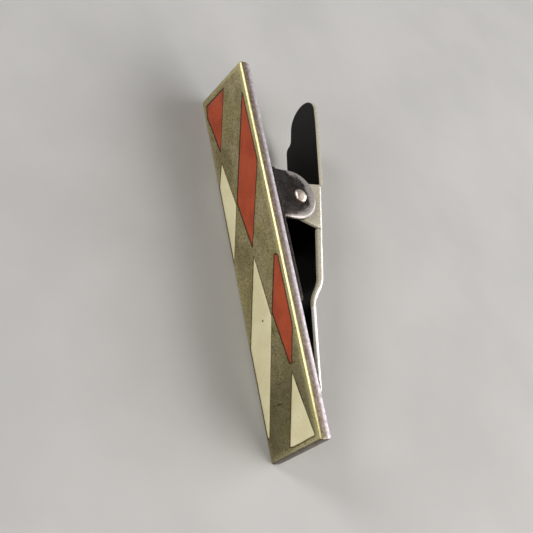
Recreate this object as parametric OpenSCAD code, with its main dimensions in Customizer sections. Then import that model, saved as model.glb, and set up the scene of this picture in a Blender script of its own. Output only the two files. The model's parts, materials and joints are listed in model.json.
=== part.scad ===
// Tie clip: an enamelled brass bar with a sprung lever clip soldered to its back.
// X runs along the bar towards the jaw, +Y is the back, +Z is the bar's upper long edge.
// The origin is the middle of the bar's lower long edge, at mid-thickness.

/* [Bar] */
// Length of the bar along X
bar_length = 42; // [36:0.5:48]
// Width of the bar, up from its lower long edge
bar_width = 8.2; // [7:0.1:9]
// Thickness of the bar, front to back
bar_thickness = 1.4; // [1.2:0.05:1.8]
// Bevel round the front edges
front_bevel = 0.2; // [0.1:0.05:0.3]
// Bevel round the back edges
back_bevel = 0.3; // [0.1:0.05:0.4]

/* [Enamel cells] */
// Depth of the enamel cells
cell_depth = 0.45; // [0.3:0.05:0.6]
// Length along each side of a cell over which its corners are rounded
cell_corner = 0.18; // [0.06:0.02:0.3]

/* [Clip base] */
// Sheet thickness of the base strip
base_thickness = 0.5; // [0.4:0.05:0.7]
// Thickness of the solder under the base strip
solder_thickness = 0.1; // [0.05:0.01:0.15]
// Thickness of each lug
lug_thickness = 0.6; // [0.5:0.05:0.8]
// Half of the clip base's width, outside the lugs
base_half_width = 3.65; // [3.4:0.05:3.8]
// Radius of a lug's rounded end
lug_radius = 2.87; // [2.5:0.05:3.1]
// Height of a lug's round centre above the front face
lug_centre_y = 3.86; // [3.5:0.02:4.1]
// Distance of a lug's round centre behind the pin
lug_set_back = 0.2; // [0:0.05:0.4]
// Length of the base strip in front of the pin
base_front = 12.1; // [8:0.1:14]

/* [Pivot] */
// Pin axis, along X from the middle of the bar
pin_x = -5.15; // [-7:0.05:-3]
// Pin axis, back from the front face
pin_y = 4.55; // [4.2:0.05:4.8]
// Radius of the pin's shank
pin_radius = 0.6; // [0.5:0.05:0.7]
// Radius of the peened heads
head_radius = 0.8; // [0.7:0.02:0.95]
// Height of a peened head over the lug
head_height = 0.36; // [0.25:0.01:0.45]
// Radial clearance of the pin in the lugs
lug_clearance = 0.02; // [0.01:0.01:0.05]
// Radial clearance of the pin in the lever
lever_clearance = 0.05; // [0.03:0.01:0.08]

/* [Lever] */
// Sheet thickness of the lever
sheet = 0.45; // [0.35:0.05:0.55]
// Half of the lever's width
lever_half_width = 2.93; // [2.7:0.01:2.95]
// Depth of the side flanges, sheet included
flange_depth = 0.92; // [0.8:0.02:1.2]
// Radius of the ears round the pin
ear_radius = 2.1; // [1.7:0.05:2.2]
// Radius of the thumb tab's round end
tab_radius = 2.35; // [2:0.05:2.4]
// Offset of the thumb tab from the lever's middle, towards the upper edge
tab_offset = 0.5; // [0:0.05:0.5]
// Clearance of the closed jaw from the bar's back
jaw_gap = 0.06; // [0.03:0.01:0.1]
// Number of notches that form the jaw's teeth
tooth_notches = 6; // [4:1:8]

/* [Spring] */
// Thickness of the leaf spring
leaf = 0.3; // [0.2:0.02:0.35]
// Radius of the spring's loop at mid-thickness
loop_radius = 1.15; // [1:0.05:1.3]
// Half of the spring's width
leaf_half_width = 1.8; // [1.2:0.1:2.1]

/* [Hidden] */
$fn = 64;
eps = 0.01;
front_y = -bar_thickness / 2;
clip_z = bar_width / 2;
base_y = bar_thickness + solder_thickness;
base_top = base_y + base_thickness;
lug_x = pin_x - lug_set_back;
base_far_x = lug_x - lug_radius;
base_length = pin_x + base_front - base_far_x;

// corners of the enamel cells on the front face, as X and Z on a bar 42 long and 8.2 wide
nominal_size = [42, 8.2];
cell_corners = [
  ["r1", [[-19.9, 4.45], [-13.3, 1.7], [-18.5, 0.53], [-19.9, 0.75]]],
  ["r2", [[-17.4, 7.45], [-8.8, 7.55], [-0.5, 3.88], [-6.35, 2.8]]],
  ["r3", [[1.7, 7.1], [2.05, 7.6], [9.55, 7.55], [12.97, 6.25], [12.85, 5.95], [7.1, 4.9]]],
  ["c1", [[-12.06, 1.49], [-6.2, 2.62], [-0.4, 0.3], [-9.6, 0.3]]],
  ["c2", [[0.33, 3.8], [7.42, 4.71], [18.6, 0.55], [18.4, 0.3], [9.2, 0.3]]],
  ["c3", [[13.69, 6.05], [20.35, 7.45], [20.4, 3.95], [20.3, 3.45]]]
];

// outer line of the lever in side view, from thumb tab to jaw lip
lip_y = bar_thickness + jaw_gap;
lever_line = [
  [-19.75, 11.09],
  [-7.6, 8.74],
  [-6.3, 8.46],
  [3.9, 6.04],
  [4.45, 5.84],
  [4.95, 5.54],
  [6.1, 4.66],
  [6.6, 4.36],
  [7.2, 4.17],
  [16.6, 2.47],
  [17.05, 2.35],
  [17.35, 2.12],
  [17.48, 1.8],
  [17.5, lip_y]
];
flange_line = [
  [-2.5, 7.56],
  [3.9, 6.04],
  [4.45, 5.84],
  [4.95, 5.54],
  [6.1, 4.66],
  [6.6, 4.36],
  [7.2, 4.17]
];

function seg_normal(a, b) = [b[1] - a[1], a[0] - b[0]] / norm(b - a);

function inner_point(p, i, t) =
  let (n1 = seg_normal(p[max(i - 1, 0)], p[max(i, 1)]))
  let (n2 = seg_normal(p[min(i, len(p) - 2)], p[min(i + 1, len(p) - 1)]))
  let (m = n1 + n2)
  p[i] + m * (2 * t / (m * m));

function inner_line(p, t) = [for (i = [len(p) - 1:-1:0]) inner_point(p, i, t)];

function cross2(a, b) = a[0] * b[1] - a[1] * b[0];

// meeting point of two lines, each given by a point and a direction
function meet(p, d, q, e) = p + d * (cross2(q - p, e) / cross2(d, e));

// corner i of a convex outline moved inwards by d, for corners in clockwise order
function inset_corner(p, i, d) =
  let (n = len(p))
  let (a = p[(i + n - 1) % n])
  let (b = p[i])
  let (c = p[(i + 1) % n])
  meet(a + d * seg_normal(a, b), b - a, b + d * seg_normal(b, c), c - b);

function inset(p, d) = [for (i = [0:len(p) - 1]) inset_corner(p, i, d)];

// point on the side from b to o at distance cut from b, at most 0.45 of the side
function along(b, o, cut) = b + (o - b) * min(cut / norm(o - b), 0.45);

// each corner of an outline replaced by a curve that starts and ends at distance cut from it
function rounded(p, cut) = [
  for (i = [0:len(p) - 1])
  let (a = along(p[i], p[(i + len(p) - 1) % len(p)], cut))
  let (c = along(p[i], p[(i + 1) % len(p)], cut))
  for (t = [0:0.25:1])
  a * (1 - t) * (1 - t) + p[i] * 2 * t * (1 - t) + c * t * t
];

function scaled_corners(name) = [
  for (c = cell_corners[search([name], cell_corners)[0]][1])
  [c[0] * bar_length / nominal_size[0], c[1] * bar_width / nominal_size[1]]
];

function cell_outline(name, grow) = rounded(inset(scaled_corners(name), -grow), cell_corner);

// places a shape drawn with Y measured back from the bar's front face
module from_front() {
  translate([0, front_y, 0]) children();
}

// a prism of a cell's outline, from the front face backwards
module cell_prism(name, start, depth, grow = 0) {
  translate([0, start + depth, 0])
    rotate([90, 0, 0])
      linear_extrude(height = depth)
        polygon(cell_outline(name, grow));
}

module enamel(name) {
  from_front() cell_prism(name, 0, cell_depth);
}

// outline of the bar's section, front bevel and back bevel included
module bevelled_outline(low, high) {
  polygon([
    [0, low + front_bevel],
    [front_bevel, low],
    [bar_thickness - back_bevel, low],
    [bar_thickness, low + back_bevel],
    [bar_thickness, high - back_bevel],
    [bar_thickness - back_bevel, high],
    [front_bevel, high],
    [0, high - front_bevel]
  ]);
}

// straight bar with bevelled long edges and ends
module bar_blank() {
  intersection() {
    translate([-bar_length / 2, 0, 0])
      rotate([90, 0, 90])
        linear_extrude(height = bar_length)
          bevelled_outline(0, bar_width);
    rotate([0, 0, 90])
      mirror([0, 1, 0])
        linear_extrude(height = bar_width)
          bevelled_outline(-bar_length / 2, bar_length / 2);
  }
}

module face_bar() {
  color([0.55, 0.5, 0.36])
    from_front()
      difference() {
        bar_blank();
        for (name = ["r1", "r2", "r3", "c1", "c2", "c3"])
          cell_prism(name, -1, 1 + cell_depth, eps);
      }
}

module enamel_red_1() {
  color([0.62, 0.2, 0.12]) enamel("r1");
}

module enamel_red_2() {
  color([0.62, 0.2, 0.12]) enamel("r2");
}

module enamel_red_3() {
  color([0.62, 0.2, 0.12]) enamel("r3");
}

module enamel_cream_1() {
  color([0.83, 0.8, 0.62]) enamel("c1");
}

module enamel_cream_2() {
  color([0.83, 0.8, 0.62]) enamel("c2");
}

module enamel_cream_3() {
  color([0.83, 0.8, 0.62]) enamel("c3");
}

// solder film between the base strip and the bar, set in from the edges
module solder_layer() {
  set_in = 0.35;
  color([0.45, 0.44, 0.42])
    from_front()
      translate([base_far_x + set_in, bar_thickness, clip_z - base_half_width + set_in])
        cube([base_length - 2 * set_in, solder_thickness, 2 * (base_half_width - set_in)]);
}

// side view of a lug, with a small fillet where it meets the strip in front of it
module lug_outline() {
  fillet = 0.45;
  difference() {
    union() {
      translate([lug_x, lug_centre_y]) circle(r = lug_radius);
      translate([base_far_x, base_y]) square([2 * lug_radius, lug_centre_y - base_y]);
      translate([lug_x, base_y]) square([lug_radius + fillet, base_thickness + fillet]);
    }
    translate([lug_x + lug_radius + fillet, base_top + fillet]) circle(r = fillet);
    translate([lug_x - 2 * lug_radius, base_y - 2]) square([4 * lug_radius, 2]);
    translate([pin_x, pin_y]) circle(r = pin_radius + lug_clearance);
  }
}

// stamped strip on the bar's back, with a lug turned up on each side
module clip_base() {
  color([0.5, 0.48, 0.47])
    from_front() {
      translate([base_far_x, base_y, clip_z - base_half_width])
        cube([base_length, base_thickness, 2 * base_half_width]);
      for (z = [clip_z - base_half_width, clip_z + base_half_width - lug_thickness])
        translate([0, 0, z])
          linear_extrude(height = lug_thickness)
            lug_outline();
    }
}

// plain pin through both lugs, peened over at each end
module pivot_pin() {
  reach = base_half_width + 0.02;
  color([0.78, 0.74, 0.68])
    from_front()
      translate([pin_x, pin_y, clip_z]) {
        cylinder(r = pin_radius, h = 2 * reach, center = true);
        for (s = [0, 180])
          rotate([s, 0, 0])
            translate([0, 0, reach - 0.02]) {
              cylinder(r = head_radius, h = 0.02 + head_height * 0.4);
              translate([0, 0, 0.02 + head_height * 0.4])
                cylinder(r1 = head_radius, r2 = head_radius * 0.6, h = head_height * 0.6);
            }
      }
}

// side view of the folded sheet
module lever_profile() {
  polygon(concat(lever_line, inner_line(lever_line, sheet)));
}

// outline of the sheet seen from the back: off-centre thumb tab with one shoulder, straight
// sides, jaw corners
module lever_outline() {
  tab_x = lever_line[0][0] + tab_radius;
  jaw_x = 16.6;
  jaw_corner = 0.7;
  translate([tab_x, tab_offset]) circle(r = tab_radius);
  polygon([
    [tab_x, tab_offset + tab_radius],
    [-15.9, lever_half_width],
    [jaw_x, lever_half_width],
    [jaw_x + 1, lever_half_width - jaw_corner],
    [jaw_x + 1, jaw_corner - lever_half_width],
    [jaw_x, -lever_half_width],
    [-15, -lever_half_width],
    [-15.6, -2.6],
    [-16.1, -2],
    [tab_x, tab_offset - tab_radius]
  ]);
}

// side view of a flange and its ear
module flange_outline() {
  near_top = [-2.0, 6.95];
  reach = near_top - [pin_x, pin_y];
  tangent = atan2(reach[1], reach[0]) - acos(ear_radius / norm(reach));
  foot = [pin_x, pin_y] + ear_radius * [cos(tangent), sin(tangent)];
  difference() {
    union() {
      polygon(concat(flange_line, inner_line(flange_line, flange_depth)));
      polygon([
        [pin_x - ear_radius - 0.1, 8.62],
        [-2.0, 7.4],
        near_top,
        foot,
        [pin_x, pin_y],
        [pin_x - ear_radius, pin_y]
      ]);
      translate([pin_x, pin_y]) circle(r = ear_radius);
    }
    translate([pin_x, pin_y]) circle(r = pin_radius + lever_clearance);
  }
}

// folded sheet: thumb tab, web with side flanges and ears, cranked jaw with a toothed lip
module lever() {
  color([0.72, 0.69, 0.66])
    from_front()
      translate([0, 0, clip_z]) {
        difference() {
          intersection() {
            translate([0, 0, -lever_half_width])
              linear_extrude(height = 2 * lever_half_width)
                lever_profile();
            translate([0, 20, 0])
              rotate([90, 0, 0])
                linear_extrude(height = 40)
                  lever_outline();
          }
          for (i = [0:tooth_notches - 1])
            translate([17, lip_y, (i - (tooth_notches - 1) / 2) * 0.72])
              rotate([45, 0, 0])
                cube([2, 0.36, 0.36], center = true);
        }
        for (z = [-lever_half_width, lever_half_width - sheet])
          translate([0, 0, z])
            linear_extrude(height = sheet)
              flange_outline();
      }
}

// side view of the spring's mid-line: thumb leg, loop round the pin, leg on the base strip
function leaf_line() =
  let (high_end = [-3.2, 3.7])
  let (low_end = [-3.3, base_top + leaf / 2 + 0.02 - pin_y])
  let (a_high = atan2(high_end[1], high_end[0]) - acos(loop_radius / norm(high_end)))
  let (a_low = atan2(low_end[1], low_end[0]) + acos(loop_radius / norm(low_end)))
  let (steps = 16)
  concat(
    [high_end],
    [for (i = [0:steps]) loop_radius * unit_at(a_high + (a_low - a_high) * i / steps)],
    [low_end]
  );

function unit_at(a) = [cos(a), sin(a)];

// leaf spring looped round the pin, one leg under the thumb tab and one on the base strip
module leaf_spring() {
  line = leaf_line();
  outer = [for (i = [0:len(line) - 1]) inner_point(line, i, -leaf / 2)];
  color([0.4, 0.4, 0.42])
    from_front()
      translate([pin_x, pin_y, clip_z - leaf_half_width])
        linear_extrude(height = 2 * leaf_half_width)
          polygon(concat(outer, inner_line(line, leaf / 2)));
}

face_bar();
enamel_red_1();
enamel_red_2();
enamel_red_3();
enamel_cream_1();
enamel_cream_2();
enamel_cream_3();
solder_layer();
clip_base();
pivot_pin();
leaf_spring();
lever();
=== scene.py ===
import json
import math

import bmesh
import bpy
import numpy as np
from mathutils import Matrix, Vector
from mathutils.geometry import delaunay_2d_cdt


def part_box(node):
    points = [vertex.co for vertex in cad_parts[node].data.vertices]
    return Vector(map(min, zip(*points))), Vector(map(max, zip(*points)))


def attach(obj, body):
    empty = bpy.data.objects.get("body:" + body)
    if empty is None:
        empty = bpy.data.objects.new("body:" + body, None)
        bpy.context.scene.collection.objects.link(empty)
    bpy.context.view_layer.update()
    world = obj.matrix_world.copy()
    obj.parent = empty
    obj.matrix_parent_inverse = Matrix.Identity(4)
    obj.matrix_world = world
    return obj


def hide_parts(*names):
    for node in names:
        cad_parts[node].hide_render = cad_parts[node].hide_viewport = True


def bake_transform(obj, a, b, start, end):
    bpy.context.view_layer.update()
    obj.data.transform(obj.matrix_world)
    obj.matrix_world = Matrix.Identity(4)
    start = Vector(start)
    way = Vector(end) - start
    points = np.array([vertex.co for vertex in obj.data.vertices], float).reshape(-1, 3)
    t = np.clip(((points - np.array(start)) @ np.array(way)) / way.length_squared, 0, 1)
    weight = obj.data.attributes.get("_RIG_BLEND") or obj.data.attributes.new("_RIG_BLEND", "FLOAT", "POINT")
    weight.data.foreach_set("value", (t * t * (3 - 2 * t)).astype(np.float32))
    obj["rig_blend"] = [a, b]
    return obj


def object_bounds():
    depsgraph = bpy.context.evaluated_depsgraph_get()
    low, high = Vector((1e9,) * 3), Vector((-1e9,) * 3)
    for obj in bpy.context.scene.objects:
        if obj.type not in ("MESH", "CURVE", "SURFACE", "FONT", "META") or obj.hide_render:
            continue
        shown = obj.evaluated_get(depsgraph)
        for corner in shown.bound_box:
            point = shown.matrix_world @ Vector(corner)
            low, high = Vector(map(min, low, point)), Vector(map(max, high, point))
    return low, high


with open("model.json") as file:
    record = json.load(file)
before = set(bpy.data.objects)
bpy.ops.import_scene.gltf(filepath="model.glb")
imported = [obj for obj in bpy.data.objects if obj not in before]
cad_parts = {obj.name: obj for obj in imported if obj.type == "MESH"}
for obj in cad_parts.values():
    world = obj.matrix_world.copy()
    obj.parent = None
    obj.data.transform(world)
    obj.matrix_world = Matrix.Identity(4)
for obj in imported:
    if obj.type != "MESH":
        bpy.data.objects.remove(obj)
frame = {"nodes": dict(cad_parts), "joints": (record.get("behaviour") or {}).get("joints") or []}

# Lengths are millimetres in the row frame. MM turns them into metres for meshes, lights and camera.
MM = 0.001
# Two faces that meet at more than this angle keep a sharp edge between them
SHARP_ANGLE = math.radians(38)
cad_low, cad_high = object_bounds()


def box_mm(node):
    low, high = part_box(node)
    return np.array(low) / MM, np.array(high) / MM


bar_low, bar_high = box_mm("face_bar")
base_low, base_high = box_mm("clip_base")
lever_low, lever_high = box_mm("lever")
spring_low, spring_high = box_mm("leaf_spring")
solder_low, solder_high = box_mm("solder_layer")
hinge = next(j for j in frame["joints"] if j["name"] == "lever_hinge")
pin_x, pin_y, clip_z = (c / MM for c in hinge["pos_m"])
front_y = bar_low[1]

# ---------------------------------------------------------------- outlines


def arc(centre, radius, start, end, steps):
    """Points of an arc, angles in degrees."""
    angles = np.radians(np.linspace(start, end, steps + 1))
    return [(centre[0] + radius * math.cos(a), centre[1] + radius * math.sin(a)) for a in angles]


def rounded_box(x0, x1, z0, z1, corner, steps):
    """A rectangle with round corners, from its upper side at x1 and clockwise."""
    return (arc((x1 - corner, z1 - corner), corner, 90, 0, steps)
            + arc((x1 - corner, z0 + corner), corner, 0, -90, steps)
            + arc((x0 + corner, z0 + corner), corner, -90, -180, steps)
            + arc((x0 + corner, z1 - corner), corner, 180, 90, steps))


def curved(corners, cut, steps=6):
    """An open line whose inner corners are replaced by parabolas that start at distance cut."""
    points = [np.array(corners[0], float)]
    for before, corner, after in zip(corners, corners[1:], corners[2:]):
        before, corner, after = (np.array(p, float) for p in (before, corner, after))
        a = corner + (before - corner) * min(cut / np.linalg.norm(before - corner), 0.48)
        c = corner + (after - corner) * min(cut / np.linalg.norm(after - corner), 0.48)
        for t in np.linspace(0, 1, steps + 1):
            points.append(a * (1 - t) ** 2 + corner * 2 * t * (1 - t) + c * t * t)
    points.append(np.array(corners[-1], float))
    return np.array(points)


def resample(outline, spacing):
    """Points round a closed outline, corners kept, at most spacing apart."""
    points = []
    for a, b in zip(outline, np.roll(outline, -1, axis=0)):
        steps = max(1, math.ceil(np.linalg.norm(b - a) / spacing))
        points += [a + (b - a) * k / steps for k in range(steps)]
    return np.array(points)


def signed_area(loop):
    x, y = loop.T
    return 0.5 * np.sum(x * np.roll(y, -1) - y * np.roll(x, -1))


def offset_points(loop, distance):
    """Each point of a closed loop moved inwards by distance, mitred at the corners."""
    ahead = np.roll(loop, -1, axis=0) - loop
    ahead /= np.linalg.norm(ahead, axis=1)[:, None]
    behind = np.roll(ahead, 1, axis=0)
    turn = 1 if signed_area(loop) > 0 else -1
    normal = turn * np.stack([-(ahead + behind)[:, 1], (ahead + behind)[:, 0]], axis=1)
    normal *= 2 / np.maximum(np.sum(normal * normal, axis=1), 0.4)[:, None]
    return loop + normal * distance


def border_distance(points, loops):
    """Distance from each point to the nearest side of the closed loops."""
    starts = np.concatenate(loops)
    sides = np.concatenate([np.roll(l, -1, axis=0) - l for l in loops])
    lengths = np.maximum(np.sum(sides * sides, axis=1), 1e-12)
    best = np.empty(len(points))
    for first in range(0, len(points), 500):
        delta = points[first:first + 500, None, :] - starts[None]
        t = np.clip(np.sum(delta * sides[None], axis=2) / lengths, 0, 1)
        gap = delta - t[..., None] * sides[None]
        best[first:first + 500] = np.sqrt(np.min(np.sum(gap * gap, axis=2), axis=1))
    return best


def inside(points, loop):
    x, y = points[:, :1], points[:, 1:]
    x1, y1 = loop.T
    x2, y2 = np.roll(loop, -1, axis=0).T
    slope = (x2 - x1) / np.where(y2 == y1, 1e-12, y2 - y1)
    crossed = ((y1 > y) != (y2 > y)) & (x < x1 + slope * (y - y1))
    return np.sum(crossed, axis=1) % 2 == 1


def edge_drop(distance, size, power=2.0):
    """How far a rounded edge falls below the face; power 1 is a flat bevel and 2 a quarter circle."""
    t = np.clip(1 - distance / size, 0, 1)
    return size * (1 - (1 - t ** power) ** (1 / power))


def edge_rings(size, steps=4):
    """Distances from the border at which a rounded edge is sampled evenly by angle."""
    return [size * (1 - math.cos(k * math.pi / 2 / steps)) for k in range(1, steps + 1)]


# ---------------------------------------------------------------- meshes


def new_piece(name, bm, material, body, replaced):
    bmesh.ops.recalc_face_normals(bm, faces=bm.faces)
    for face in bm.faces:
        face.smooth = True
    mesh = bpy.data.meshes.new(name)
    bm.to_mesh(mesh)
    bm.free()
    mesh.set_sharp_from_angle(angle=SHARP_ANGLE)
    piece = bpy.data.objects.new(name, mesh)
    bpy.context.scene.collection.objects.link(piece)
    mesh.materials.append(material)
    if body:
        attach(piece, body)
    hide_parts(replaced)
    return piece


def plate(outline, place, top, bottom, rings, columns, rows, holes=(), loops=(), spacing=0.2,
          mark=None):
    """A closed sheet. Its two faces share one triangulation of the outline, and top and bottom
    give their heights from the points and their distances to the border. Its vertices hold three
    attributes for the materials: border (the distance to it), reverse (1 on the bottom face) and
    mark (from the function of that name, or the same as border)."""
    borders = [resample(np.array(l, float), spacing) for l in [outline, *holes]]
    kept_loops = [np.array(l, float) for l in loops]
    fixed = np.concatenate([*borders, *kept_loops])

    def usable(candidates, clearance, from_loops):
        near = [*borders, *kept_loops] if from_loops else borders
        good = inside(candidates, borders[0]) & (border_distance(candidates, near) > clearance)
        for hole in borders[1:]:
            good &= ~inside(candidates, hole)
        return candidates[good]

    extra = []
    for ring in rings:
        for index, loop in enumerate(borders):
            moved = offset_points(loop, ring if index == 0 else -ring)
            extra.append(usable(moved, ring * 0.97, False))
    grid = np.array([(x, y) for x in columns for y in rows])
    inner = usable(grid, 0.03, True)
    inner = inner[border_distance(inner, borders) > max(rings) + 0.02]
    everything = np.concatenate([fixed, *extra, inner])

    edges, start = [], 0
    for loop in [*borders, *kept_loops]:
        n = len(loop)
        edges += [(start + i, start + (i + 1) % n) for i in range(n)]
        start += n
    found = delaunay_2d_cdt([Vector(p) for p in everything], edges, [], 0, 1e-5)
    flat = np.array([tuple(v) for v in found[0]])
    triangles = np.array([tuple(f) for f in found[2]])
    centres = flat[triangles].mean(axis=1)
    keep = inside(centres, borders[0])
    for hole in borders[1:]:
        keep &= ~inside(centres, hole)
    triangles = triangles[keep]

    distance = border_distance(flat, borders)
    high = place(flat, top(flat, distance))
    low = place(flat, bottom(flat, distance))
    used = sorted(set(triangles.ravel().tolist()))
    marks = mark(flat) if mark else distance
    bm = bmesh.new()
    border, reverse, marked = (bm.verts.layers.float.new(n) for n in ("border", "reverse", "mark"))
    up, down = {}, {}
    for i in used:
        up[i] = bm.verts.new(high[i] * MM)
        down[i] = bm.verts.new(low[i] * MM)
        up[i][border] = down[i][border] = distance[i]
        up[i][marked] = down[i][marked] = marks[i]
        down[i][reverse] = 1.0
    sides = {}
    for a, b, c in triangles.tolist():
        bm.faces.new((up[a], up[b], up[c]))
        bm.faces.new((down[c], down[b], down[a]))
        for side in ((a, b), (b, c), (c, a)):
            sides[side] = sides.get(side, 0) + 1
    for a, b in [s for s in sides if (s[1], s[0]) not in sides]:
        bm.faces.new((up[b], up[a], down[a], down[b]))
    return bm


def upright(points, heights):
    """Puts a blank's points in X and Z, and its heights in Y."""
    return np.stack([points[:, 0], heights, points[:, 1]], axis=1)


def line_lengths(line):
    """The length along an open line at each of its points."""
    return np.concatenate([[0], np.cumsum(np.linalg.norm(np.diff(line, axis=0), axis=1))])


def sheet_place(line, fold=None):
    """Puts a flat blank on a bent line in side view. fold gives the side position and depth from
    the place along the blank, the place across it and the height."""
    lengths = line_lengths(line)
    tangents = np.gradient(line, lengths, axis=0)
    tangents /= np.linalg.norm(tangents, axis=1)[:, None]

    def place(points, heights):
        s, b = points.T
        side, depth = fold(s, b, heights) if fold else (b, heights)
        at = np.stack([np.interp(s, lengths, line[:, k]) for k in (0, 1)], axis=1)
        t = np.stack([np.interp(s, lengths, tangents[:, k]) for k in (0, 1)], axis=1)
        t /= np.linalg.norm(t, axis=1)[:, None]
        at[:, 0] += t[:, 1] * depth
        at[:, 1] -= t[:, 0] * depth
        return np.stack([at[:, 0], at[:, 1] + front_y, clip_z + side], axis=1)

    return place, lengths


# ---------------------------------------------------------------- materials


# Value of the mark attribute on metal painted dark and dull as shade, with no worn rim
DULL_SHADE_MARK = 5.0


class Paint:
    """One material's node tree, worked in millimetres."""

    def __init__(self, name):
        self.material = bpy.data.materials.new(name)
        self.material.use_nodes = True
        self.tree = self.material.node_tree
        self.shader = self.tree.nodes["Principled BSDF"]
        coordinates = self.tree.nodes.new("ShaderNodeTexCoord")
        self.place = self.node("ShaderNodeVectorMath", {0: coordinates.outputs["Object"]})
        self.place.operation = "SCALE"
        self.place.inputs["Scale"].default_value = 1 / MM
        self.mm = self.place.outputs[0]

    def node(self, kind, inputs=None, **settings):
        made = self.tree.nodes.new(kind)
        for key, value in settings.items():
            setattr(made, key, value)
        for key, value in (inputs or {}).items():
            self.feed(made.inputs[key], value)
        return made

    def feed(self, socket, value):
        if isinstance(value, bpy.types.NodeSocket):
            self.tree.links.new(value, socket)
        else:
            socket.default_value = value

    def noise(self, scale, detail=4.0, roughness=0.55, stretch=(1, 1, 1), distortion=0.0):
        moved = self.node("ShaderNodeVectorMath", {0: self.mm, 1: stretch}, operation="MULTIPLY")
        found = self.node("ShaderNodeTexNoise", {
            "Vector": moved.outputs[0], "Scale": scale, "Detail": detail,
            "Roughness": roughness, "Distortion": distortion})
        return found.outputs["Fac"]

    def band(self, value, low, high, to_low=0.0, to_high=1.0):
        """Value carried smoothly from low..high to to_low..to_high."""
        found = self.node("ShaderNodeMapRange", {
            "Value": value, "From Min": low, "From Max": high,
            "To Min": to_low, "To Max": to_high}, interpolation_type="SMOOTHSTEP")
        return found.outputs["Result"]

    def math(self, operation, a, b=0.0):
        return self.node("ShaderNodeMath", {0: a, 1: b}, operation=operation).outputs[0]

    def mix(self, factor, a, b):
        made = self.node("ShaderNodeMix", data_type="RGBA")
        self.feed(made.inputs["Factor"], factor)
        for name, value in (("A", a), ("B", b)):
            socket = next(i for i in made.inputs if i.name == name and i.type == "RGBA")
            self.feed(socket, value if isinstance(value, bpy.types.NodeSocket) else (*value, 1))
        return next(o for o in made.outputs if o.type == "RGBA")

    def axis(self, index):
        return self.node("ShaderNodeSeparateXYZ", {0: self.mm}).outputs[index]

    def attribute(self, name):
        return self.node("ShaderNodeAttribute", attribute_name=name).outputs["Fac"]

    def facing(self, index):
        geometry = self.node("ShaderNodeNewGeometry")
        local = self.node("ShaderNodeVectorTransform", {0: geometry.outputs["Normal"]},
                          vector_type="NORMAL", convert_from="WORLD", convert_to="OBJECT")
        return self.node("ShaderNodeSeparateXYZ", {0: local.outputs[0]}).outputs[index]

    def dots(self, scale, core, rim, density):
        """Small round spots of random size, thinned out by a broad noise."""
        found = self.node("ShaderNodeTexVoronoi", {
            "Vector": self.mm, "Scale": scale, "Randomness": 1.0})
        keep = self.band(self.noise(0.8, 3, 0.6), density - 0.06, density + 0.06)
        spot = self.band(found.outputs["Distance"], core, rim, 1.0, 0.0)
        return self.math("MULTIPLY", spot, keep)

    def stroke(self, start, end, width):
        """A thin stroke from one point to another on the front face, both given as X and Z, drawn for
        scratches, a pit and the painted shadow of a gap.
        """
        middle = ((start[0] + end[0]) / 2, 0, (start[1] + end[1]) / 2)
        ahead = Vector((end[0] - start[0], 0, end[1] - start[1]))
        from_middle = self.node("ShaderNodeVectorMath", {0: self.mm, 1: middle}, operation="SUBTRACT")

        def reach(axis):
            dot = self.node("ShaderNodeVectorMath", {0: from_middle.outputs[0], 1: axis},
                            operation="DOT_PRODUCT")
            return self.math("ABSOLUTE", dot.outputs["Value"])

        ahead_unit = ahead.normalized()
        across_unit = (-ahead_unit.z, 0, ahead_unit.x)
        sideways = self.band(reach(across_unit), width * 0.2, width * 0.6, 1.0, 0.0)
        lengthways = self.band(reach(ahead_unit), ahead.length * 0.35, ahead.length * 0.55, 1.0, 0.0)
        return self.math("MULTIPLY", sideways, lengthways)

    def bump(self, height, distance, strength=1.0, normal=None):
        made = self.node("ShaderNodeBump", {
            "Height": height, "Distance": distance * MM, "Strength": strength})
        if normal is not None:
            self.feed(made.inputs["Normal"], normal)
        return made.outputs["Normal"]

    def finish(self, color, roughness, normal=None, **fixed):
        self.feed(self.shader.inputs["Base Color"], color)
        self.feed(self.shader.inputs["Roughness"], roughness)
        if normal is not None:
            self.feed(self.shader.inputs["Normal"], normal)
        for name, value in fixed.items():
            self.shader.inputs[name.replace("_", " ")].default_value = value
        return self.material


def srgb(r, g, b):
    """A colour as the eye reads it, 0 to 255, in the shader's linear values."""
    return tuple(((c / 255 + 0.055) / 1.055) ** 2.4 if c > 10 else c / 255 / 12.92 for c in (r, g, b))


# Scratches on the bar and a pit in one cream cell, as X and Z on the front face
BAR_SCRATCHES = [((8.5, 4.4), (9.3, 4.5)), ((15.9, 2.7), (16.1, 3.7))]
SCRATCH_WIDTH = 0.16
CREAM_PIT = ((7.2, 3.2), (7.45, 3.2))
CREAM_PIT_WIDTH = 0.25
# A painted shadow in the gap where one cream cell has shrunk from its upper wall
SHRINK_GAP_SHADOW = ((14.7, 6.3), (17.2, 6.83))
SHRINK_GAP_SHADOW_WIDTH = 0.24
# Lengths over which the bar's front darkens with painted shade, and its bevel's painted highlight fades,
# towards the jaw's end
FRONT_SHADE_FADE = (15, 3)
BEVEL_HIGHLIGHT_FADE = (7, 0.5)


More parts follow.
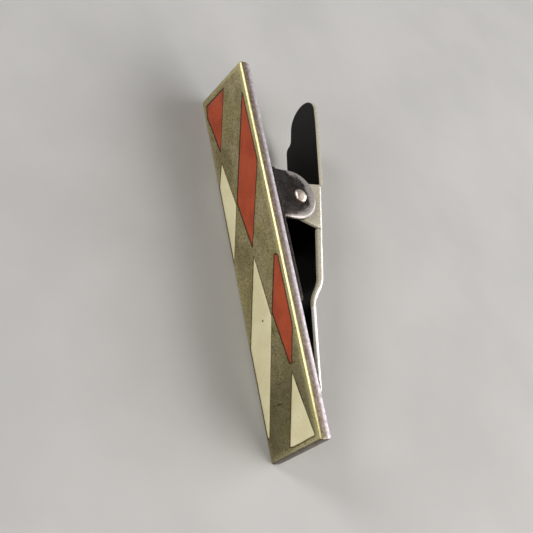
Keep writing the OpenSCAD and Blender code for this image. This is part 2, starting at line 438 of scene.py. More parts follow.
def brass_material():
    """Worn, tarnished brass: pitted olive front darkened by painted shade towards the jaw's end, a bevel
    with a painted highlight, a brown side in painted shade with a grey painted highlight on its back
    rounding, end faces in painted shade and a dull back."""
    p = Paint("tarnished_brass")
    cloud = p.noise(0.5, 6, 0.65, (0.7, 1, 1))
    grain = p.noise(4.5, 6, 0.8)
    patch = p.band(p.noise(0.35, 3, 0.5), 0.45, 0.6)
    pits = p.math("MAXIMUM", p.dots(1.7, 0.1, 0.2, 0.5), p.dots(3.4, 0.12, 0.3, 0.47))
    # The scratches' list also carries the painted shadow of the shrunk cell's gap
    for start, end in [*BAR_SCRATCHES, SHRINK_GAP_SHADOW]:
        pits = p.math("MAXIMUM", pits, p.stroke(start, end, SCRATCH_WIDTH))
    specks = p.dots(2.9, 0.1, 0.26, 0.5)
    front = p.mix(p.band(cloud, 0.36, 0.64), srgb(168, 156, 114), srgb(206, 194, 152))
    front = p.mix(p.math("MULTIPLY", patch, 0.35), front, srgb(190, 182, 112))
    front = p.mix(p.band(grain, 0.38, 0.6), p.mix(0.6, front, srgb(92, 80, 50)), front)
    # Painted shade: the front darkens towards the jaw's end
    jaw_end_shade = p.band(p.axis(0), *(bar_high[0] - length for length in FRONT_SHADE_FADE))
    front = p.mix(p.math("MULTIPLY", jaw_end_shade, 0.75), front, srgb(112, 104, 74))
    # Paler rim inside the bevel: partly wear, partly the flank of the bevel's painted highlight, stronger
    # towards the upper edge
    worn = p.band(p.attribute("border"), 0.25, 0.9, 1.0, 0.0)
    upper = p.band(p.axis(2), 2.0, 6.0, 0.2, 0.6)
    front = p.mix(p.math("MULTIPLY", worn, upper), front, srgb(226, 218, 164))
    front = p.mix(p.math("MULTIPLY", specks, 0.35), front, srgb(226, 220, 188))
    front = p.mix(p.math("MULTIPLY", pits, 0.8), front, srgb(52, 42, 26))
    seam = p.math("ADD", p.attribute("mark"), p.band(grain, 0.3, 0.7, -0.02, 0.03))
    front = p.mix(p.band(seam, 0.04, 0.13), srgb(58, 42, 22), front)
    # Painted highlight on the bevel, fading towards the jaw's end
    bevel_highlight = p.mix(p.band(grain, 0.3, 0.6), srgb(218, 202, 128), srgb(252, 242, 184))
    bevel_highlight_end = p.band(p.axis(0), *(bar_high[0] - length for length in BEVEL_HIGHLIGHT_FADE))
    bevel_highlight = p.mix(p.math("MULTIPLY", bevel_highlight_end, 0.7), bevel_highlight, srgb(150, 138, 90))
    rust = p.band(p.noise(3.6, 5, 0.8), 0.4, 0.6)
    # Across the side: brown with rust, in painted shade, towards the front, and a pale grey painted
    # highlight on the back rounding
    side_shade_brown = p.mix(rust, srgb(110, 94, 82), srgb(160, 142, 126))
    side_highlight_grey = p.mix(p.band(p.noise(3.0, 5, 0.7), 0.35, 0.65), srgb(164, 154, 156), srgb(206, 198, 204))
    side = p.mix(p.band(p.axis(1), front_y + 0.6, front_y + 0.95), side_shade_brown, side_highlight_grey)
    side = p.mix(p.math("MULTIPLY", pits, 0.5), side, srgb(60, 48, 36))
    # Where the bevel's painted highlight lies: bevel faces, fuller where they face up
    bevel_highlight_mask = p.math("MULTIPLY", p.band(p.facing(1), -0.12, -0.3),
                      p.band(p.facing(2), 0.1, 0.4, 0.25, 1))
    edge_or_side = p.mix(bevel_highlight_mask, side, bevel_highlight)
    # Painted shade on the end faces, flecked with rust
    end_shade = p.band(p.math("ABSOLUTE", p.facing(0)), 0.3, 0.7, 0.0, 0.9)
    edge_or_side = p.mix(end_shade, edge_or_side, p.mix(rust, srgb(62, 56, 48), srgb(104, 96, 84)))
    on_front = p.math("MULTIPLY", p.band(p.attribute("border"), 0.16, 0.26),
                      p.band(p.attribute("reverse"), 0.3, 0.7, 1.0, 0.0))
    back = p.mix(p.band(cloud, 0.36, 0.64), srgb(120, 108, 76), srgb(172, 158, 118))
    back = p.mix(p.band(p.noise(2.0, 5, 0.7, (0.15, 1, 1)), 0.42, 0.62), back, srgb(134, 120, 86))
    back = p.mix(p.math("MULTIPLY", pits, 0.7), back, srgb(58, 46, 28))
    on_back = p.math("MULTIPLY", p.band(p.attribute("border"), 0.3, 0.7),
                     p.band(p.attribute("reverse"), 0.6, 0.9))
    color = p.mix(on_front, edge_or_side, front)
    color = p.mix(on_back, color, back)
    fine = p.bump(p.noise(7.0, 5, 0.75), 0.014, 0.6)
    dents = p.bump(p.noise(1.1, 3, 0.5), 0.05, 0.3, fine)
    holes = p.bump(p.math("SUBTRACT", 1.0, pits), 0.02, 0.7, dents)
    rough = p.band(grain, 0.3, 0.7, 0.52, 0.38)
    shiny = p.math("MAXIMUM", p.math("MAXIMUM", on_front, on_back), bevel_highlight_mask)
    p.feed(p.shader.inputs["Metallic"], p.band(shiny, 0, 1, 0.5, 0.85))
    return p.finish(color, rough, holes)


def enamel_material(name, light, dark, rim, speck, rim_width, flaws=()):
    """Fired enamel, thin and dark over the brass at its border, with a few tiny pits. A flaw is a
    start, an end and a width."""
    p = Paint(name)
    cloud = p.noise(0.4, 3, 0.5)
    grain = p.noise(5.0, 4, 0.6)
    color = p.mix(p.band(cloud, 0.35, 0.65), dark, light)
    color = p.mix(p.math("MULTIPLY", p.band(grain, 0.45, 0.7), 0.3), color, dark)
    pits = p.dots(1.1, 0.03, 0.06, 0.56)
    # A flaw can be a painted shadow, as the shrunk cream cell's gap is
    for start, end, width in flaws:
        pits = p.math("MAXIMUM", pits, p.stroke(start, end, width))
    wobble = p.math("MULTIPLY", p.math("SUBTRACT", p.noise(2.0, 3), 0.5), 0.1)
    reach = p.math("ADD", p.attribute("border"), wobble)
    color = p.mix(p.band(reach, 0.02, rim_width), rim, color)
    color = p.mix(pits, color, speck)
    waves = p.bump(p.noise(0.9, 2, 0.5), 0.03, 0.4)
    skin = p.bump(p.math("SUBTRACT", grain, pits), 0.005, 0.5, waves)
    rough = p.band(grain, 0.3, 0.7, 0.26, 0.4)
    return p.finish(color, rough, skin, Specular_IOR_Level=0.35, Coat_Weight=0.12,
                    Coat_Roughness=0.14)


def steel_material(name, light, dark, stain, rough, black=None, rim=None, rim_width=0.3,
                   metallic=0.95, rim_metallic=0.4, polished_glint=None):
    """Nickelled or bare metal with stains and pits. It takes the rim colour where the mark is below
    rim_width, which on the lugs is partly wear and partly a painted highlight; the near-white
    colour where the mark is below zero, partly wear from rubbing and partly a painted highlight; a
    dark, dull colour as painted shade where the mark is at its dull value; and black on its inner
    face, which on the clip base is painted shade."""
    p = Paint(name)
    cloud = p.noise(0.6, 5, 0.6)
    grain = p.noise(6.0, 5, 0.7)
    brushed = p.noise(2.4, 5, 0.75, (0.12, 1.6, 1.6))
    color = p.mix(p.band(cloud, 0.35, 0.65), dark, light)
    color = p.mix(p.math("MULTIPLY", p.band(brushed, 0.45, 0.65), 0.35), color, dark)
    color = p.mix(p.math("MULTIPLY", p.band(p.noise(1.1, 5, 0.7), 0.52, 0.7), 0.6), color, stain)
    pits = p.dots(2.4, 0.06, 0.14, 0.54)
    color = p.mix(p.math("MULTIPLY", pits, 0.6), color, srgb(44, 38, 32))
    if rim:
        wobble = p.band(p.noise(0.8, 3, 0.6), 0.3, 0.7, -0.25, 0.25)
        reach = p.math("ADD", p.attribute("mark"), p.math("MULTIPLY", wobble, rim_width))
        whole = p.band(reach, rim_width * 0.6, rim_width * 1.4)
        color = p.mix(whole, rim, color)
        metallic = p.band(whole, 0, 1, rim_metallic, metallic)
    # Near-white where the mark is below zero: partly wear from rubbing, partly a painted highlight
    if polished_glint:
        rubbed_glint = p.band(p.attribute("mark"), -0.7, -0.2, 1.0, 0.0)
        color = p.mix(rubbed_glint, color, polished_glint)
    polish = p.band(grain, 0.3, 0.7, rough, rough + 0.14)
    # Painted shade: metal at the dull mark is darkened and dulled
    dull_shade = p.band(p.attribute("mark"), DULL_SHADE_MARK - 1, DULL_SHADE_MARK)
    color = p.mix(dull_shade, color, p.mix(p.band(grain, 0.4, 0.6), srgb(34, 30, 28), dark))
    polish = p.math("ADD", polish, p.math("MULTIPLY", dull_shade, 0.3))
    # Black on inner faces; on the clip base this is painted shade
    if black:
        inner = p.math("MULTIPLY", p.band(p.attribute("reverse"), 0.55, 0.95),
                       p.band(p.attribute("border"), 0.02, 0.08))
        color = p.mix(inner, color, p.mix(p.band(grain, 0.35, 0.65), black, srgb(22, 20, 18)))
        polish = p.math("ADD", polish, p.math("MULTIPLY", inner, 0.2))
    streaks = p.bump(brushed, 0.012, 0.5)
    fine = p.bump(p.math("SUBTRACT", grain, pits), 0.005, 0.4, streaks)
    p.feed(p.shader.inputs["Metallic"], metallic)
    return p.finish(color, polish, fine)


brass = brass_material()
red = enamel_material("red_enamel_glaze", srgb(162, 67, 34), srgb(144, 54, 24), srgb(58, 26, 12),
                      srgb(96, 34, 20), 0.17)
cream = enamel_material("cream_enamel_glaze", srgb(212, 204, 166), srgb(203, 194, 154),
                        srgb(126, 118, 74), srgb(70, 58, 36), 0.12,
                        [(*CREAM_PIT, CREAM_PIT_WIDTH), (*SHRINK_GAP_SHADOW, SHRINK_GAP_SHADOW_WIDTH)])
# On the clip base the rim colour is a pale crescent, partly wear and partly a painted highlight, and the
# black is painted shade on the strip and the lugs' inner faces
clip_steel = steel_material("clip_nickel", srgb(116, 108, 104), srgb(84, 76, 72),
                            srgb(66, 56, 50), 0.2, srgb(22, 20, 18), srgb(162, 154, 150), 1.1)
# On the lever the near-white is partly wear from rubbing on the jaw's edge and partly a painted highlight
lever_steel = steel_material("lever_nickel", srgb(226, 220, 216), srgb(188, 180, 174),
                             srgb(152, 136, 116), 0.2, srgb(8, 7, 7), srgb(194, 186, 166), 0.1,
                             0.85, 0.25, srgb(255, 252, 250))
pin_steel = steel_material("pin_nickel", srgb(220, 208, 196), srgb(188, 172, 156),
                           srgb(140, 118, 98), 0.32, metallic=0.75)
spring_metal = steel_material("spring_steel_dark", srgb(40, 38, 38), srgb(24, 22, 22),
                              srgb(34, 28, 24), 0.3)
solder_metal = steel_material("solder_grey", srgb(140, 138, 136), srgb(104, 102, 100),
                              srgb(86, 80, 72), 0.42, metallic=0.7)

# ---------------------------------------------------------------- bar and enamel

CELLS = ["enamel_red_1", "enamel_red_2", "enamel_red_3",
         "enamel_cream_1", "enamel_cream_2", "enamel_cream_3"]
BAR_CORNER = 0.22
BAR_GRID = 0.4
FRONT_BEVEL = 0.21
# Between a flat bevel, 1, and a quarter circle, 2
FRONT_POWER = 1.6
# The back's rounding, and how many times deeper than wide it is
BACK_EDGE = 0.34
BACK_RISE = 2.0
# The gap between the enamel and its pocket's wall, and the wall's worn rim
POCKET_GAP = 0.012
POCKET_RIM = 0.03
POCKET_RIM_DEPTH = 0.02
# The enamel's surface: sunk a little, rounded at its border, a dip inside it and a faint crown
ENAMEL_SINK = 0.008
ENAMEL_EDGE = 0.03
DIP_DEPTH = 0.022
DIP_AT = 0.1
DIP_WIDTH = 0.07
CROWN_HEIGHT = 0.03
CROWN_REACH = 0.5


def front_loop(node):
    """The closed outline, X and Z, of a CAD cell's front face."""
    bm = bmesh.new()
    bm.from_mesh(frame["nodes"][node].data)
    bmesh.ops.remove_doubles(bm, verts=bm.verts, dist=0.001 * MM)
    level = min(v.co.y for v in bm.verts)
    on_front = [f for f in bm.faces if all(abs(v.co.y - level) < 0.01 * MM for v in f.verts)]
    ring = {}
    for face in on_front:
        for loop in face.loops:
            if not any(g in on_front for g in loop.edge.link_faces if g is not face):
                ring[loop.vert.index] = loop.link_loop_next.vert.index
    bm.verts.ensure_lookup_table()
    order = [next(iter(ring))]
    while ring[order[-1]] != order[0]:
        order.append(ring[order[-1]])
    points = np.array([(bm.verts[i].co.x / MM, bm.verts[i].co.z / MM) for i in order])
    bm.free()
    return points


cell_loops = {node: front_loop(node) for node in CELLS}
cell_depth = {node: box_mm(node)[1][1] - front_y for node in CELLS}


def make_bar():
    walls = [resample(loop, 0.5) for loop in cell_loops.values()]
    grown = [POCKET_GAP, POCKET_GAP * 2, POCKET_GAP + POCKET_RIM, 0.09, 0.18]
    kept = [l for wall in walls for l in (offset_points(wall, -POCKET_GAP * 0.3),
                                          *(offset_points(wall, -g) for g in grown))]
    depth = max(cell_depth.values())

    def top(points, distance):
        height = front_y + edge_drop(distance, FRONT_BEVEL, FRONT_POWER)
        for wall in walls:
            gap = border_distance(points, [wall])
            within = inside(points, wall) | (gap < POCKET_GAP * 0.6)
            rim = np.clip((POCKET_GAP + POCKET_RIM - gap) / POCKET_RIM, 0, 1)
            height = np.where(within, front_y + depth, height + POCKET_RIM_DEPTH * rim ** 2)
        return height

    def bottom(points, distance):
        return bar_high[1] - edge_drop(distance, BACK_EDGE) * BACK_RISE

    def seam(points):
        return border_distance(points, walls)

    x0, x1 = bar_low[0], bar_high[0]
    z0, z1 = bar_low[2], bar_high[2]
    outline = rounded_box(x0, x1, z0, z1, BAR_CORNER, 4)
    rings = sorted(edge_rings(BACK_EDGE, 5) + [0.01, FRONT_BEVEL * 0.8, FRONT_BEVEL])
    bm = plate(outline, upright, top, bottom, rings, np.arange(x0, x1, BAR_GRID),
               np.arange(z0 + BAR_GRID, z1, BAR_GRID), loops=kept, spacing=BAR_GRID, mark=seam)
    return new_piece("brass_bar", bm, brass, "bar", "face_bar")


make_bar()


def make_enamel(node, material):
    """Fired enamel: nearly flush at the border, with a narrow dip inside it and a faint crown."""
    loop = cell_loops[node]
    depth = front_y + cell_depth[node]

    def top(points, distance):
        dip = DIP_DEPTH * np.exp(-((distance - DIP_AT) / DIP_WIDTH) ** 2)
        crown = CROWN_HEIGHT * (1 - np.exp(-distance / CROWN_REACH))
        return front_y + ENAMEL_SINK + edge_drop(distance, ENAMEL_EDGE) + dip - crown

    def bottom(points, distance):
        return np.full(len(points), depth)

    low, high = loop.min(0), loop.max(0)
    rings = [0.01, 0.03, 0.06, 0.1, 0.15, 0.22]
    bm = plate(loop, upright, top, bottom, rings, np.arange(low[0], high[0], 0.2),
               np.arange(low[1], high[1], 0.2), spacing=0.15)
    return new_piece(node + "_fired", bm, material, "bar", node)


for cell in CELLS:
    is_red = "red" in cell
    make_enamel(cell, red if is_red else cream)

# ---------------------------------------------------------------- clip base

LUG_RADIUS = 2.87
LUG_X = base_low[0] + LUG_RADIUS
LUG_CENTRE_Y = 3.86 + front_y
LUG_THICKNESS = 0.6
LUG_FILLET = 0.45
LUG_EDGE = 0.26
LUG_INNER_EDGE = 0.08
# How far the dark disc's centre is set off towards the bar
CRESCENT_SHIFT = 0.6
ROLL_DEPTH = 0.1
ROLL_WIDTH = 1.0
STRIP_THICKNESS = 0.5
STRIP_CORNER = 0.5
STRIP_EDGE = 0.1
# How black the strip is painted as shade, next to 1 for the lugs' inner faces, also painted shade
STRIP_SHADE = 0.75
# The strip is a little smaller than the lugs where they meet, so that no faces coincide
STRIP_INSET = 0.01
strip_back = base_low[1] + STRIP_THICKNESS


def unite(target, other):
    """Joins other into target. It can lose the attributes, so mark_lugs sets them afterwards."""
    tool = target.modifiers.new("union", "BOOLEAN")
    tool.operation = "UNION"
    tool.solver = "EXACT"
    tool.object = other
    depsgraph = bpy.context.evaluated_depsgraph_get()
    joined = bpy.data.meshes.new_from_object(target.evaluated_get(depsgraph))
    target.modifiers.clear()
    target.data = joined
    bpy.data.objects.remove(other)


def loose(bm, name):
    """A passing object for the union, not a piece."""
    bmesh.ops.recalc_face_normals(bm, faces=bm.faces)
    mesh = bpy.data.meshes.new(name)
    bm.to_mesh(mesh)
    bm.free()
    made = bpy.data.objects.new(name, mesh)
    bpy.context.scene.collection.objects.link(made)
    bpy.context.view_layer.update()
    return made


def lug_outline():
    near_x = LUG_X + LUG_RADIUS
    foot_y = base_low[1] + 0.02
    return ([(base_low[0], foot_y)]
            + arc((LUG_X, LUG_CENTRE_Y), LUG_RADIUS, 180, 0, 36)
            + arc((near_x + LUG_FILLET, strip_back + LUG_FILLET), LUG_FILLET, 180, 270, 6)
            + [(near_x + LUG_FILLET, foot_y)])


def lug_bm(side):
    """One lug, its outer face rolled over towards its edge as a stamped sheet's is."""

    def top(points, distance):
        above_strip = np.clip(points[:, 1] - strip_back + 0.4, 0, 1)
        roll = ROLL_DEPTH * np.clip(1 - distance / ROLL_WIDTH, 0, 1) ** 1.5 * above_strip
        return roll + edge_drop(distance, LUG_EDGE)

    def bottom(points, distance):
        return LUG_THICKNESS - edge_drop(distance, LUG_INNER_EDGE)

    def place(points, heights):
        outer = base_high[2] if side > 0 else base_low[2]
        return np.stack([points[:, 0], points[:, 1], outer - side * heights], axis=1)

    rings = sorted(edge_rings(LUG_EDGE, 5) + [0.4, 0.6, 0.8, 1.0])
    return plate(lug_outline(), place, top, bottom, rings,
                 np.arange(base_low[0], LUG_X + LUG_RADIUS + 1, 0.3), np.arange(0, base_high[1], 0.3))


def mark_lugs(bm):
    """Sets the attributes again after the union. The pale crescent, partly a worn rim and partly a
    painted highlight on the rolled-over edge, is what lies outside a dark disc whose centre is set
    off towards the bar, so it is widest at the back and fades towards the bar. The strip and the
    lugs' inner faces are marked for painted shade."""
    border, reverse, marked = (bm.verts.layers.float[n] for n in ("border", "reverse", "mark"))
    for v in bm.verts:
        x, y, z = v.co / MM
        outer = abs(z - clip_z) > base_high[2] - clip_z - LUG_THICKNESS / 2
        off_centre = math.hypot(x - LUG_X, y - LUG_CENTRE_Y + CRESCENT_SHIFT)
        gap = max(LUG_RADIUS + CRESCENT_SHIFT - off_centre, 0) + max(LUG_CENTRE_Y - y, 0) * 0.5
        on_lug = y > strip_back + 0.1
        v[border] = 1.0
        v[reverse] = 0.0 if outer else (1.0 if on_lug else STRIP_SHADE)
        v[marked] = min(gap, DULL_SHADE_MARK - 1) if on_lug else DULL_SHADE_MARK


def make_clip_base():
    x0, x1 = base_low[0] + STRIP_INSET, base_high[0]
    z0, z1 = base_low[2] + STRIP_INSET, base_high[2] - STRIP_INSET
    outline = ([(x0, z1)] + arc((x1 - STRIP_CORNER, z1 - STRIP_CORNER), STRIP_CORNER, 90, 0, 6)
               + arc((x1 - STRIP_CORNER, z0 + STRIP_CORNER), STRIP_CORNER, 0, -90, 6) + [(x0, z0)])

    def top(points, distance):
        return base_low[1] + edge_drop(distance, STRIP_EDGE)

    def bottom(points, distance):
        return strip_back - edge_drop(distance, STRIP_EDGE)

    strip = loose(plate(outline, upright, top, bottom, edge_rings(STRIP_EDGE, 3),
                        np.arange(x0, x1, 0.6), np.arange(z0, z1, 0.6)), "strip")
    for side in (1, -1):
        unite(strip, loose(lug_bm(side), "lug"))
    bm = bmesh.new()
    bm.from_mesh(strip.data)
    bpy.data.objects.remove(strip)
    mark_lugs(bm)
    return new_piece("clip_base_stamped", bm, clip_steel, "bar", "clip_base")


make_clip_base()

# ---------------------------------------------------------------- pin

PIN_RADIUS = 0.6
PIN_STEPS = 48
HEAD_RADIUS = 0.72
HEAD_RIM = 0.06
DOME_HEIGHT = 0.3
HAMMER_DEPTH = 0.05


def make_pin():
    """Lathed pin with a hammered dome at each end."""
    face = base_high[2] - clip_z
    angles = [math.radians(a) for a in (0, 12, 24, 36, 48, 60, 72, 82, 90)]
    profile = [(HEAD_RADIUS * math.sin(a), face + HEAD_RIM + DOME_HEIGHT * math.cos(a))
               for a in angles]
    profile += [(HEAD_RADIUS, face + 0.01), (PIN_RADIUS, face - 0.01)]
    profile += [(r, -z) for r, z in reversed(profile)]
    bm = bmesh.new()
    rings = []
    for r, z in profile:
        if r == 0:
            rings.append([bm.verts.new((0, 0, z))])
            continue
        ring = []
        for k in range(PIN_STEPS):
            a = 2 * math.pi * k / PIN_STEPS
            uneven = 1 + 0.05 * math.sin(2 * a + 0.6) * (abs(z) > face) + 0.03 * math.sin(5 * a)
            ring.append(bm.verts.new((r * uneven * math.cos(a), r * uneven * math.sin(a), z)))
        rings.append(ring)
    for a, b in zip(rings, rings[1:]):
        for k in range(PIN_STEPS):
            n = (k + 1) % PIN_STEPS
            if len(a) == 1:
                bm.faces.new((a[0], b[k], b[n]))
            elif len(b) == 1:
                bm.faces.new((a[k], a[n], b[0]))
            else:
                bm.faces.new((a[k], a[n], b[n], b[k]))
    for v in bm.verts:
        hammered = HAMMER_DEPTH * math.sin(3.1 * v.co.x + 1.0) * math.cos(2.7 * v.co.y - 0.4)
        if abs(v.co.z) > face + 0.1:
            v.co.z -= math.copysign(abs(hammered), v.co.z)
        v.co = Vector(((v.co.x + pin_x) * MM, (v.co.y + pin_y) * MM, (v.co.z + clip_z) * MM))
    return new_piece("pin_peened", bm, pin_steel, "bar", "pivot_pin")


make_pin()

# ---------------------------------------------------------------- lever

SHEET = 0.45
OUTER_EDGE = 0.1
INNER_EDGE = 0.08
FOLD_RADIUS = 0.55
FLANGE_DEPTH = 0.92
FLANGE_STEP = 0.12
EAR_RADIUS = 2.1
EAR_MARGIN = 0.1
# Where the ear meets the flange, in side view: X, and Y back from the bar's front face
EAR_TOP = (-2.0, 6.95)
# Stretches along X: the flange at its full depth, and the ends of the crank and the jaw's fold
FLANGE_X = (-1.7, 3.4)
CRANK_END_X = 7.2
JAW_FOLD_END_X = 14.9
TAB_RADIUS = 2.35
TAB_OFFSET = 0.5
# Where the tab's upper side begins, and its stepped lower side as X and the place across
TAB_SIDE_X = -15.9
TAB_SHOULDER = [(-15.35, -2.85), (-15.6, -2.6), (-15.8, -2.2), (-16.1, -2.0)]
TAB_SHOULDER_X = -15.0
JAW_CORNER = 0.7
SLIT = 0.1
# How far round the fold the jaw's edge is painted near white, partly wear from rubbing and partly a painted
# highlight
RUBBED_GLINT = 0.4
TOOTH_NOTCHES = 6
TOOTH_PITCH = 0.72
TOOTH_DEPTH = 0.25
# Outer line in side view: X, and Y back from the bar's front face
LEVER_CORNERS = [
    (-19.75, 11.09), (-7.6, 8.74), (-6.3, 8.46), (3.9, 6.04), (4.45, 5.84), (4.95, 5.54),
    (6.1, 4.66), (6.6, 4.36), (7.2, 4.17), (16.6, 2.47), (17.05, 2.35), (17.35, 2.12),
    (17.48, 1.8), (17.5, 1.46)]
# The straight stretch over the ears runs from this corner to the next
EAR_CORNER = 2
half_width = (lever_high[2] - lever_low[2]) / 2
lever_line = curved(LEVER_CORNERS, 0.5)
fold_start = half_width - FOLD_RADIUS
fold_end = fold_start + FOLD_RADIUS * math.pi / 2


lever_lengths = line_lengths(lever_line)


def along_lever(x):
    return float(np.interp(x, lever_line[:, 0], lever_lengths))


ear_start = along_lever(pin_x - EAR_RADIUS - EAR_MARGIN)
flange_end = along_lever(CRANK_END_X)
jaw_fold_end = along_lever(JAW_FOLD_END_X)
lever_end = lever_lengths[-1]


def lever_fold(s, b, heights):
    """The blank's sides folded down by a quarter turn from the ear's start on."""
    folded = (s > ear_start - SLIT / 2) & (abs(b) > fold_start)
    turn = np.clip((abs(b) - fold_start) / FOLD_RADIUS, 0, math.pi / 2)
    beyond = np.maximum(abs(b) - fold_end, 0)
    side = fold_start + (FOLD_RADIUS - heights) * np.sin(turn)
    depth = FOLD_RADIUS - (FOLD_RADIUS - heights) * np.cos(turn) + beyond
    return np.where(folded, np.sign(b) * side, b), np.where(folded, depth, heights)


def on_blank(x, y):
    """A point of the ear in side view, as its place on the flat blank."""
    start, end = (np.array(LEVER_CORNERS[EAR_CORNER + k]) for k in (0, 1))
    ahead = (end - start) / np.linalg.norm(end - start)
    inward = np.array([ahead[1], -ahead[0]])
    delta = np.array([x, y]) - start
    depth = delta @ inward
    return (along_lever(start[0]) + delta @ ahead, fold_end + depth - FOLD_RADIUS)


def ear_points():
    """Ear and flange on the blank, from the ear's far side to the flange's near end."""
    pin_from_front = pin_y - front_y
    reach = np.array(EAR_TOP) - np.array([pin_x, pin_from_front])
    tangent = math.degrees(math.atan2(reach[1], reach[0])
                           - math.acos(EAR_RADIUS / np.linalg.norm(reach)))
    rim = arc((pin_x, pin_from_front), EAR_RADIUS, 180, 360 + tangent, 24)
    flange_b = fold_end + FLANGE_DEPTH - FOLD_RADIUS
    return ([(ear_start, fold_start - 0.04), (ear_start, fold_end)]
            + [on_blank(x, y) for x, y in rim]
            + [on_blank(*EAR_TOP), *((along_lever(x), flange_b) for x in FLANGE_X),
               (flange_end, fold_end + FLANGE_STEP), (flange_end + 0.2, fold_end)])


def lever_blank():
    """The lever's outline before it is bent, with the tab first and the jaw's teeth last along it.
    The folded edges run out into the flat jaw."""
    ear = ear_points()
    before = (ear_start - SLIT, fold_start - 0.04)
    jaw = [(jaw_fold_end, fold_end), (jaw_fold_end + 0.6, fold_end - 0.2),
           (jaw_fold_end + 1.0, fold_start + 0.25), (jaw_fold_end + 1.3, fold_start),
           (lever_end, half_width - JAW_CORNER)]
    teeth = []
    for i in range(TOOTH_NOTCHES):
        b = ((TOOTH_NOTCHES - 1) / 2 - i) * TOOTH_PITCH
        teeth += [(lever_end, b + TOOTH_DEPTH), (lever_end - TOOTH_DEPTH, b),
                  (lever_end, b - TOOTH_DEPTH)]
    tab = (TAB_RADIUS, TAB_OFFSET)
    upper = (arc(tab, TAB_RADIUS, 180, 90, 16)
             + [(along_lever(TAB_SIDE_X), half_width), (before[0], half_width), before])
    shoulder = [(along_lever(x), b) for x, b in [(TAB_SHOULDER_X, -half_width), *TAB_SHOULDER]]
    lower = ([(before[0], -half_width)] + shoulder + arc(tab, TAB_RADIUS, 270, 180, 16)[:-1])
    mirrored = [(s, -b) for s, b in reversed(ear + jaw)]
    return upper + ear + jaw + teeth + mirrored + [(before[0], -before[1])] + lower


def make_lever():
    place, lengths = sheet_place(lever_line, lever_fold)
    outline = np.array(lever_blank())
    hole_at = on_blank(pin_x, pin_y - front_y)
    holes = [arc((hole_at[0], s * hole_at[1]), PIN_RADIUS + 0.05, 0, 360, 32)[:-1] for s in (1, -1)]

    def top(points, distance):
        return edge_drop(distance, OUTER_EDGE)

    def bottom(points, distance):
        return SHEET - edge_drop(distance, INNER_EDGE)

    def wear(points):
        to_flat = np.maximum(fold_end - abs(points[:, 1]), 0)
        worn = np.minimum(border_distance(points, [outline]), to_flat)
        # Below zero round the jaw's fold, painted near white: partly wear from rubbing, partly a painted
        # highlight
        rubbed_glint = 1 - 2 * np.clip((abs(points[:, 1]) - fold_start) / RUBBED_GLINT, 0, 1)
        return np.where(points[:, 0] > flange_end, rubbed_glint, worn)

    fold_rows = [fold_start + (fold_end - fold_start) * k / 8 for k in range(9)]
    rows = list(np.arange(0, fold_start - 0.1, 0.45)) + fold_rows
    rows += list(np.arange(fold_end + 0.25, fold_end + 6, 0.35))
    rows = sorted({round(s * r, 4) for r in rows for s in (1, -1)})
    columns = sorted(set(np.round(np.concatenate([np.arange(0.2, lever_end, 0.5), lengths[1:-1]]), 3)))
    bm = plate(outline, place, top, bottom, edge_rings(OUTER_EDGE, 3), columns, rows,
               holes=holes, spacing=0.25, mark=wear)
    return new_piece("lever_folded", bm, lever_steel, "lever", "lever")


make_lever()

# ---------------------------------------------------------------- leaf spring

LEAF = 0.3
LEAF_CORNER = 0.6
LEAF_EDGE = 0.06
LOOP_RADIUS = 1.15
# Ends of the two legs, along X and back from the pin's axis
UPPER_LEG_END = (-3.2, 3.7)
LOWER_LEG_X = -3.3
LEG_GAP = 0.02
# Places where the bend begins and ends, in loop radii from the axis
BLEND_REACH = 0.8


def make_spring():
    """Leaf bent round the pin, one leg under the thumb tab and one on the base strip."""
    axis = np.array([pin_x, pin_y - front_y])
    high_end = np.array(UPPER_LEG_END)
    low_end = np.array([LOWER_LEG_X, strip_back - front_y + LEAF / 2 + LEG_GAP - axis[1]])

    def tangent_angle(end, side):
        lean = math.acos(LOOP_RADIUS / np.linalg.norm(end))
        return math.degrees(math.atan2(end[1], end[0]) + side * lean)

    loop = arc((0, 0), LOOP_RADIUS, tangent_angle(high_end, -1), tangent_angle(low_end, 1), 28)
    line = np.array([high_end, *loop, low_end]) + axis
    place, lengths = sheet_place(line)
    half = (spring_high[2] - spring_low[2]) / 2
    end = lengths[-1]
    outline = rounded_box(0, end, -half, half, LEAF_CORNER, 6)

    def top(points, distance):
        return edge_drop(distance, LEAF_EDGE) - LEAF / 2

    def bottom(points, distance):
        return LEAF / 2 - edge_drop(distance, LEAF_EDGE)

    columns = sorted(set(np.round(np.concatenate([np.arange(0.3, end, 0.6), lengths[1:-1]]), 3)))
    bm = plate(outline, place, top, bottom, edge_rings(LEAF_EDGE, 2), columns,
               np.arange(-half, half, 0.4), spacing=0.2)
    piece = new_piece("spring_leaf", bm, spring_metal, None, "leaf_spring")
    reach = LOOP_RADIUS * BLEND_REACH
    blend_from = (pin_x * MM, (pin_y - reach) * MM, clip_z * MM)
    blend_to = (pin_x * MM, (pin_y + reach) * MM, clip_z * MM)
    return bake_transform(piece, "bar", "lever", start=blend_from, end=blend_to)


make_spring()

# ---------------------------------------------------------------- solder

SOLDER_EDGE = 0.045


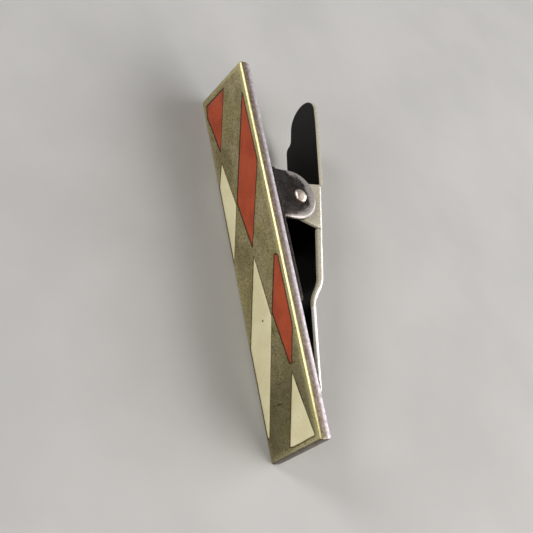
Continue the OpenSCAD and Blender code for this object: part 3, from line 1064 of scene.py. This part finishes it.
def make_solder():
    """Solder film with a wandering border and a slightly lumpy edge."""
    (x0, y0, z0), (x1, y1, z1) = solder_low, solder_high
    outline = []
    for x, z in resample(np.array([(x0, z1), (x1, z1), (x1, z0), (x0, z0)]), 0.35):
        swell = 0.1 * math.sin(2.3 * x + 1.1 * z) + 0.08 * math.sin(5.1 * x - 3.7 * z + 1)
        outline.append((x + math.copysign(swell, x - (x0 + x1) / 2) * (abs(z - clip_z) < 2.9),
                        z + math.copysign(swell, z - clip_z)))

    def top(points, distance):
        return y0 + edge_drop(distance, SOLDER_EDGE)

    def bottom(points, distance):
        return y1 - edge_drop(distance, SOLDER_EDGE)

    bm = plate(outline, upright, top, bottom, edge_rings(SOLDER_EDGE, 2), np.arange(x0, x1, 0.8),
               np.arange(z0, z1, 0.8))
    return new_piece("solder_film", bm, solder_metal, "bar", "solder_layer")


make_solder()

# ---------------------------------------------------------------- floor, lights, camera

# The surroundings' brightness at the horizon and below, and from SKY_TOP's height up
LOW_SKY = 0.28
HIGH_SKY = 0.09
SKY_TOP = 0.8


def make_floor():
    p = Paint("pale_floor")
    cloud = p.noise(0.06, 4, 0.5)
    color = p.mix(p.band(cloud, 0.3, 0.7), srgb(176, 174, 171), srgb(184, 182, 179))
    material = p.finish(color, 0.9, p.bump(p.noise(1.5, 4, 0.6), 0.04, 0.3))
    bm = bmesh.new()
    bmesh.ops.create_grid(bm, x_segments=2, y_segments=2, size=1.2)
    mesh = bpy.data.meshes.new("floor")
    bm.to_mesh(mesh)
    bm.free()
    floor = bpy.data.objects.new("floor", mesh)
    bpy.context.scene.collection.objects.link(floor)
    mesh.materials.append(material)
    floor.location.z = cad_low.z


def area_light(name, direction, distance, width, height, power, color=(1, 1, 1)):
    """A soft rectangle that faces the object from the given direction. Sizes are in metres."""
    data = bpy.data.lights.new(name, "AREA")
    data.shape = "RECTANGLE"
    data.size = width
    data.size_y = height
    data.energy = power
    data.color = color
    light = bpy.data.objects.new(name, data)
    bpy.context.scene.collection.objects.link(light)
    away = Vector(direction).normalized()
    light.location = (cad_low + cad_high) / 2 + away * distance
    light.rotation_mode = "QUATERNION"
    light.rotation_quaternion = (-away).to_track_quat("-Z", "Y")


def make_world():
    world = bpy.data.worlds.new("studio")
    world.use_nodes = True
    bpy.context.scene.world = world
    background = world.node_tree.nodes["Background"]
    tree = world.node_tree
    sky = tree.nodes.new("ShaderNodeTexCoord")
    height = tree.nodes.new("ShaderNodeSeparateXYZ")
    fade = tree.nodes.new("ShaderNodeMapRange")
    fade.inputs["From Max"].default_value = SKY_TOP
    fade.inputs["To Min"].default_value = LOW_SKY
    fade.inputs["To Max"].default_value = HIGH_SKY
    tree.links.new(sky.outputs["Generated"], height.inputs[0])
    tree.links.new(height.outputs["Z"], fade.inputs["Value"])
    tree.links.new(fade.outputs[0], background.inputs["Strength"])
    background.inputs["Color"].default_value = (0.94, 0.97, 1.0, 1)


def make_camera():
    """The photo's camera, fitted to the bar's four front corners and turned with the bar upright."""
    data = bpy.data.cameras.new("camera")
    data.sensor_width = 36
    data.lens = 63.9
    data.clip_start = 0.005
    data.clip_end = 10
    camera = bpy.data.objects.new("camera", data)
    bpy.context.scene.collection.objects.link(camera)
    forward = Vector((-0.39653, 0.57381, -0.71659))
    up = Vector((-0.89902, -0.08472, 0.42964))
    right = forward.cross(up).normalized()
    up = right.cross(forward).normalized()
    camera.location = Vector((39.794, -54.820, 73.099)) * MM
    camera.rotation_mode = "QUATERNION"
    basis = [[right[k], up[k], -forward[k]] for k in range(3)]
    camera.rotation_quaternion = Matrix(basis).to_quaternion()
    bpy.context.scene.camera = camera


make_floor()
make_world()
make_camera()
area_light("window", (0.6, 0.62, 0.5), 0.5, 0.42, 0.34, 2.6, (1.0, 0.98, 0.95))
area_light("window_left", (-0.12, 0.93, 0.33), 0.5, 0.3, 0.26, 1.0)
area_light("window_high", (0.05, 0.68, 0.73), 0.5, 0.27, 0.2, 0.45)
area_light("overhead", (-0.4, -0.72, 0.57), 0.5, 0.16, 0.16, 1.0)
area_light("fill", (0.3, -0.85, 0.35), 0.6, 0.4, 0.3, 1.6)
bpy.context.scene.view_settings.view_transform = "Standard"
